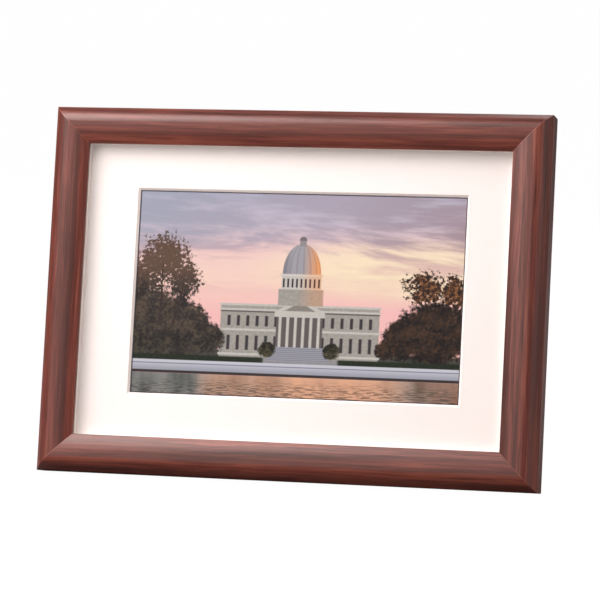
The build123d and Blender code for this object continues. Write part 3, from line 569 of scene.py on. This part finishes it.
def water(p):
    """Still water with the sky's peach in upright streaks broken by ripples."""
    s = p.s
    ripples = s.noise(s.vector(p.x * 30, p.y * 190, 3.0), 1.0, 4.0, 0.62)
    streaks = s.noise(s.vector(p.x * 13, p.y * 2.5, 6.0), 1.0, 2.0)
    warmth = p.oval(0.62, 0.97, 0.2, 0.4, 0.8) + p.oval(0.32, 0.99, 0.10, 0.3, 0.8) * 0.6
    glow = (warmth * (streaks * 0.7 + 0.5)).smaller(1.0)
    dark = ripples.step(0.47, 0.56) * p.y.step(0.89, 0.95)
    colour = s.mix(streaks.step(0.35, 0.65), srgb(74, 78, 76), srgb(138, 136, 132))
    colour = s.mix(p.x.step(0.78, 0.95) * 0.6, colour, srgb(168, 116, 88))
    colour = s.mix(glow, colour, srgb(232, 172, 138))
    colour = s.mix(dark * 0.7, colour, srgb(66, 60, 54))
    p.lay(p.y.step(0.886, 0.89), colour)


class ScreenLook(bpy.types.PropertyGroup):
    brightness: bpy.props.FloatProperty(
        name="Brightness", description="How bright the lit screen is", default=1.0, min=0, max=4)
    active_width: bpy.props.FloatProperty(
        name="Picture width", description="Width of the panel's lit area",
        default=0.2169, unit="LENGTH")
    active_height: bpy.props.FloatProperty(
        name="Picture height", description="Height of the panel's lit area",
        default=0.1345, unit="LENGTH")


class FRAME_OT_screen(bpy.types.Operator):
    """The lit display with its evening picture, and the black foam round it"""

    bl_idname = "photo_frame.screen"
    bl_label = "Screen"

    def execute(self, context):
        look = context.scene.photo_frame_screen
        s = Shader("screen_picture", Roughness=0.5, Specular_IOR_Level=0.08,
                   Emission_Strength=look.brightness)
        left = sum(reach("lcd_cell", RIGHT)) / 2 - look.active_width / 2
        top = sum(reach("lcd_cell", UP)) / 2 + look.active_height / 2
        across = (s.place.dot(RIGHT) - left) / look.active_width
        down = (top - s.place.dot(UP)) / look.active_height
        picture = Picture(s, across, down)
        evening_sky(picture)
        domed_hall(picture)
        foreground(picture)
        water(picture)
        lit = picture.block(0.0, 1.0, 0.0, 1.0, 0.0005)
        face = s.place.dot(OUT) > reach("lcd_cell", OUT)[1] - FACE_SKIN
        black = (0.004, 0.004, 0.005)
        colour = s.mix(lit * face, black, picture.colour)
        dress("lcd_cell", s.finish(black + (1.0,), emission=colour))

        s = Shader("gasket_foam", Roughness=0.85, Specular_IOR_Level=0.2)
        foam = s.cells(s.place, 3000.0)
        shade = s.ramp(foam, [(0.0, (0.03, 0.028, 0.034)), (0.8, (0.07, 0.066, 0.078))])
        dress("panel_gasket", s.finish(shade, bumps=[(foam, 0.4, 0.0001)]))
        return {"FINISHED"}


# ------------------------------------------------------------------ plastics, rubber and metal
def plastic(name, colour, texture=4200.0, depth=0.00006, roughness=0.5):
    """Moulded plastic with a fine spark texture and faint handling marks."""
    s = Shader(name, Specular_IOR_Level=0.45)
    spark = s.cells(s.place, texture)
    cloud = s.noise(s.place, 35.0, 4.0)
    rub = s.noise(s.place, 12.0, 2.0).step(0.45, 0.7)
    pale = tuple(min(1, c * 1.7 + 0.004) for c in colour)
    tone = s.mix(cloud.step(0.3, 0.75) * 0.5, colour, pale)
    rough = spark * 0.14 + rub * -0.08 + roughness
    return s.finish(tone, rough, bumps=[(spark, 0.35, depth)])


def rubber(name, colour):
    """Soft dull rubber with a dusty bloom."""
    s = Shader(name, Specular_IOR_Level=0.3)
    dust = s.noise(s.place, 900.0, 3.0)
    bloom = s.noise(s.place, 70.0, 3.0).step(0.4, 0.75)
    tone = s.mix(bloom * 0.4, colour, tuple(c * 2 + 0.01 for c in colour))
    return s.finish(tone, dust * 0.15 + 0.72, bumps=[(dust, 0.25, 0.0001)])


def metal(name, colour, roughness=0.32, grain=RIGHT):
    """Brushed or plated metal with fine scratches along one direction."""
    s = Shader(name, Metallic=1.0)
    along = s.place.dot(grain)
    rest = s.place.dot(grain.orthogonal())
    third = s.place.dot(grain.cross(grain.orthogonal()))
    scratch = s.noise(s.vector(along * 150, rest * 5000, third * 5000), 1.0, 3.0)
    stain = s.noise(s.place, 180.0, 3.0)
    tone = s.mix(stain.step(0.35, 0.7) * 0.35, colour, tuple(c * 0.62 for c in colour))
    rough = scratch * 0.2 + stain * 0.1 + roughness - 0.12
    return s.finish(tone, rough, bumps=[(scratch, 0.15, 0.00003)])


class CaseLook(bpy.types.PropertyGroup):
    black: bpy.props.FloatVectorProperty(
        name="Case", description="Colour of the moulded back, leg and chassis", subtype="COLOR",
        default=srgb(38, 38, 40), min=0, max=1)
    button: bpy.props.FloatVectorProperty(
        name="Buttons", description="Colour of the buttons", subtype="COLOR",
        default=srgb(62, 62, 65), min=0, max=1)
    rubber: bpy.props.FloatVectorProperty(
        name="Rubber", description="Colour of the foot pad and bumpers", subtype="COLOR",
        default=srgb(30, 30, 31), min=0, max=1)


class FRAME_OT_rear_housing(bpy.types.Operator):
    """Moulded rear cover, its countersunk screws and its wall bumpers"""

    bl_idname = "photo_frame.rear_housing"
    bl_label = "Rear housing"

    def execute(self, context):
        look = context.scene.photo_frame_case
        dress("rear_cover", plastic("case_black", tuple(look.black)))
        dress("display_chassis", plastic("chassis_black", tuple(look.black), 2600.0))
        dress("cover_screws", metal("screw_black_zinc", (0.09, 0.09, 0.1), 0.42))
        dress("wall_bumpers", rubber("bumper_rubber", tuple(look.rubber)))
        dress("corner_v_nails", metal("nail_steel", (0.45, 0.45, 0.47)))
        return {"FINISHED"}


class FRAME_OT_stand_leg(bpy.types.Operator):
    """Hinged leg with its pin, washers and rubber foot"""

    bl_idname = "photo_frame.stand_leg"
    bl_label = "Stand leg"

    def execute(self, context):
        look = context.scene.photo_frame_case
        dress("stand_leg", plastic("leg_black", tuple(look.black), 3600.0))
        dress("foot_pad", rubber("foot_rubber", tuple(look.rubber)))
        steel = metal("hinge_steel", (0.6, 0.6, 0.62))
        dress("hinge_pin", steel)
        dress("hinge_washers", steel)
        return {"FINISHED"}


class FRAME_OT_buttons(bpy.types.Operator):
    """Four small buttons in the side of the housing"""

    bl_idname = "photo_frame.buttons"
    bl_label = "Buttons"

    def execute(self, context):
        look = context.scene.photo_frame_case
        material = plastic("button_satin", tuple(look.button), 5200.0, 0.00003, 0.36)
        for node in ("power_button", "menu_button", "previous_button", "next_button"):
            dress(node, material)
        return {"FINISHED"}


def circuit_board(name, mask):
    """Solder mask over faint copper tracks."""
    s = Shader(name, Roughness=0.3, Coat_Weight=0.3)
    grid = (s.place.dot(RIGHT) * 900).wave() * (s.place.dot(UP) * 700).wave()
    patches = s.noise(s.place, 260.0, 1.0)
    tracks = (grid * 0.5 + patches).step(0.55, 0.6)
    tone = s.mix(tracks * 0.5, mask, tuple(c * 1.8 + 0.01 for c in mask))
    return s.finish(tone, bumps=[(tracks, 0.25, 0.00005)])


class FRAME_OT_electronics(bpy.types.Operator):
    """Backlight, main board and what it carries, speakers and leads"""

    bl_idname = "photo_frame.electronics"
    bl_label = "Electronics"

    def execute(self, context):
        silver = metal("sheet_silver", (0.62, 0.63, 0.64))
        for node in ("backlight_tray", "wifi_shield", "usb_c_port", "card_slot", "tact_switches",
                     "board_screws"):
            dress(node, silver)
        for node in ("optical_films", "light_guide", "reflector_sheet"):
            dress(node, plastic(f"{node}_film", (0.78, 0.8, 0.82), 900.0, 0.00002, 0.3))
        dress("led_strip", plastic("led_strip_white", (0.75, 0.7, 0.45), 1500.0))
        dress("heat_sink", metal("heat_sink_grey", (0.2, 0.2, 0.21), 0.5))
        dress("main_board", circuit_board("board_green", (0.01, 0.09, 0.045)))
        dress("wifi_antenna", circuit_board("antenna_board", (0.012, 0.03, 0.07)))
        epoxy = plastic("chip_epoxy", (0.012, 0.012, 0.013), 6000.0, 0.00003, 0.55)
        for node in ("processor", "memory_chips", "board_components"):
            dress(node, epoxy)
        dress("board_connectors", plastic("plug_ivory", (0.66, 0.62, 0.52), 1800.0))
        dress("display_flex", plastic("flex_amber", (0.42, 0.16, 0.025), 900.0, 0.00002, 0.28))
        dress("mounting_tapes", rubber("tape_black", (0.02, 0.02, 0.02)))
        for node in ("speaker_left", "speaker_right"):
            dress(node, plastic(f"{node}_cone", (0.02, 0.02, 0.022), 2400.0))
        for node in ("speaker_leads", "antenna_lead"):
            dress(node, rubber(f"{node}_jacket", (0.014, 0.014, 0.015)))
        return {"FINISHED"}


# ------------------------------------------------------------------ studio
class StudioLook(bpy.types.PropertyGroup):
    camera_place: bpy.props.FloatVectorProperty(
        name="Camera place", description="Where the camera stands", subtype="TRANSLATION",
        default=(0.42468, -1.7896, 0.3631), unit="LENGTH")
    azimuth: bpy.props.FloatProperty(
        name="Camera azimuth", description="How far the view turns from straight ahead",
        default=math.radians(13.34), unit="ROTATION")
    elevation: bpy.props.FloatProperty(
        name="Camera elevation", description="How far the view looks down",
        default=math.radians(7.757), unit="ROTATION")
    lens: bpy.props.FloatProperty(
        name="Focal length", description="Camera focal length in millimetres", default=172.9, min=1)
    key_power: bpy.props.FloatProperty(
        name="Key light", description="Power of the large light at the upper left in watts",
        default=15.0)
    sheen_power: bpy.props.FloatProperty(
        name="Sheen light", description="Power of the light seen in the varnish in watts",
        default=11.5)
    front_power: bpy.props.FloatProperty(
        name="Front light", description="Power of the weak warm light in front in watts",
        default=14.0)
    fill_power: bpy.props.FloatProperty(
        name="Fill light", description="Power of the light at the right in watts",
        default=7.0)
    rear_power: bpy.props.FloatProperty(
        name="Rear light", description="Power of the light behind in watts", default=14.0)
    air: bpy.props.FloatProperty(
        name="Ambient", description="Strength of the even light from all round", default=0.2)


# Colours of the lamps; the rear one is plain white.
WARM = (1.0, 0.84, 0.79)
BLUSH = (1.0, 0.92, 0.89)
FLOOR_SIZE = 30
FLOOR_DROP = 0.0005  # the floor lies just under the frame's lowest edge
FLOOR_GLOW = 1.15  # what the camera sees of the floor is mostly this even white
FLOOR_GLOW_SHARE = 0.86


def soft_light(name, place, size, power, colour=(1, 1, 1), diffuse=True, glossy=True):
    """A square light facing the frame's middle, its place along RIGHT, UP and OUT from there."""
    middle = UP * MIDDLE + OUT * BACK
    data = bpy.data.lights.new(name, "AREA")
    data.size = size
    data.energy = power
    data.color = colour
    lamp = bpy.data.objects.new(name, data)
    bpy.context.scene.collection.objects.link(lamp)
    toward = RIGHT * place[0] + UP * place[1] + OUT * place[2]
    lamp.location = middle + toward
    lamp.rotation_euler = toward.to_track_quat("Z", "Y").to_euler()
    lamp.visible_camera = False
    lamp.visible_diffuse = diffuse
    lamp.visible_glossy = glossy


def white_floor():
    """A wide white floor that stays bright behind the frame and takes a faint shadow under it."""
    bpy.ops.object.select_all(action="DESELECT")
    bpy.ops.mesh.primitive_plane_add(size=FLOOR_SIZE, location=(0, 0, -FLOOR_DROP))
    floor = bpy.context.object
    floor.name = "studio_floor"
    s = Shader("floor_white", Roughness=0.9, Specular_IOR_Level=0.1)
    mottle = s.noise(s.place, 5.0, 2.0)
    material = s.finish(s.ramp(mottle, [(0.0, (0.15,) * 3), (1.0, (0.18,) * 3)]))
    white = {"Color": (1, 1, 1, 1), "Strength": FLOOR_GLOW}
    glow = s.node("ShaderNodeEmission", None, white).out()
    seen = s.node("ShaderNodeLightPath").out("Is Camera Ray") * FLOOR_GLOW_SHARE
    plain = Value(s, s.surface.outputs[0])
    mixed = s.node("ShaderNodeMixShader", None, (seen, plain, glow)).out()
    s.tree.links.new(mixed.socket, s.tree.nodes["Material Output"].inputs["Surface"])
    floor.data.materials.append(material)


def studio_air(strength):
    """White surroundings to the camera, and a dimmer even light on the frame."""
    world = bpy.data.worlds.new("studio_air")
    bpy.context.scene.world = world
    world.use_nodes = True
    tree = world.node_tree
    seen = tree.nodes["Background"]
    seen.inputs["Color"].default_value = (1, 1, 1, 1)
    seen.inputs["Strength"].default_value = 1.0
    ambient = tree.nodes.new("ShaderNodeBackground")
    ambient.inputs["Color"].default_value = (*WARM, 1)
    ambient.inputs["Strength"].default_value = strength
    path = tree.nodes.new("ShaderNodeLightPath")
    mix = tree.nodes.new("ShaderNodeMixShader")
    tree.links.new(path.outputs["Is Camera Ray"], mix.inputs[0])
    tree.links.new(ambient.outputs[0], mix.inputs[1])
    tree.links.new(seen.outputs[0], mix.inputs[2])
    tree.links.new(mix.outputs[0], tree.nodes["World Output"].inputs[0])


class FRAME_OT_studio(bpy.types.Operator):
    """Pale floor, soft light and the camera"""

    bl_idname = "photo_frame.studio"
    bl_label = "Studio"

    def execute(self, context):
        look = context.scene.photo_frame_studio
        scene = context.scene
        scene.view_settings.view_transform = "Standard"
        white_floor()
        studio_air(look.air)
        soft_light("key_light", (-0.44, 0.50, 0.32), 1.15, look.key_power, BLUSH, glossy=False)
        soft_light("sheen_light", (-0.43, 0.60, 0.42), 0.65, look.sheen_power, BLUSH, diffuse=False)
        soft_light("front_light", (-0.5, 0.35, 1.5), 2.0, look.front_power, WARM)
        soft_light("fill_light", (1.35, 0.1, 0.3), 1.6, look.fill_power, BLUSH)
        soft_light("rear_light", (0.45, 0.9, -1.0), 0.9, look.rear_power)

        data = bpy.data.cameras.new("product_camera")
        data.lens = look.lens
        data.sensor_width = 36.0
        camera = bpy.data.objects.new("product_camera", data)
        scene.collection.objects.link(camera)
        camera.location = look.camera_place
        camera.rotation_euler = (math.pi / 2 - look.elevation, 0.0, look.azimuth)
        scene.camera = camera
        return {"FINISHED"}


# ------------------------------------------------------------------ sidebar and registration
STEPS = (
    FRAME_OT_studio,
    FRAME_OT_wooden_moulding,
    FRAME_OT_mat_and_glass,
    FRAME_OT_screen,
    FRAME_OT_rear_housing,
    FRAME_OT_stand_leg,
    FRAME_OT_buttons,
    FRAME_OT_electronics,
)


class FRAME_PT_sidebar(bpy.types.Panel):
    """Lists the frame's finishing steps"""

    bl_idname = "FRAME_PT_sidebar"
    bl_label = "Photo Frame"
    bl_space_type = "VIEW_3D"
    bl_region_type = "UI"
    bl_category = "Photo Frame"

    def draw(self, context):
        for step in STEPS:
            self.layout.operator(step.bl_idname)


LOOKS = {
    "photo_frame_wood": WoodLook,
    "photo_frame_mat": MatLook,
    "photo_frame_screen": ScreenLook,
    "photo_frame_case": CaseLook,
    "photo_frame_studio": StudioLook,
}


def register():
    for name, group in LOOKS.items():
        bpy.utils.register_class(group)
        setattr(bpy.types.Scene, name, bpy.props.PointerProperty(type=group))
    for cls in (*STEPS, FRAME_PT_sidebar):
        bpy.utils.register_class(cls)


def unregister():
    for cls in (FRAME_PT_sidebar, *reversed(STEPS)):
        bpy.utils.unregister_class(cls)
    for name, group in LOOKS.items():
        delattr(bpy.types.Scene, name)
        bpy.utils.unregister_class(group)


def main():
    register()
    bpy.ops.photo_frame.studio()
    bpy.ops.photo_frame.wooden_moulding()
    bpy.ops.photo_frame.mat_and_glass()
    bpy.ops.photo_frame.screen()
    bpy.ops.photo_frame.rear_housing()
    bpy.ops.photo_frame.stand_leg()
    bpy.ops.photo_frame.buttons()
    bpy.ops.photo_frame.electronics()


if __name__ == "__main__":
    main()
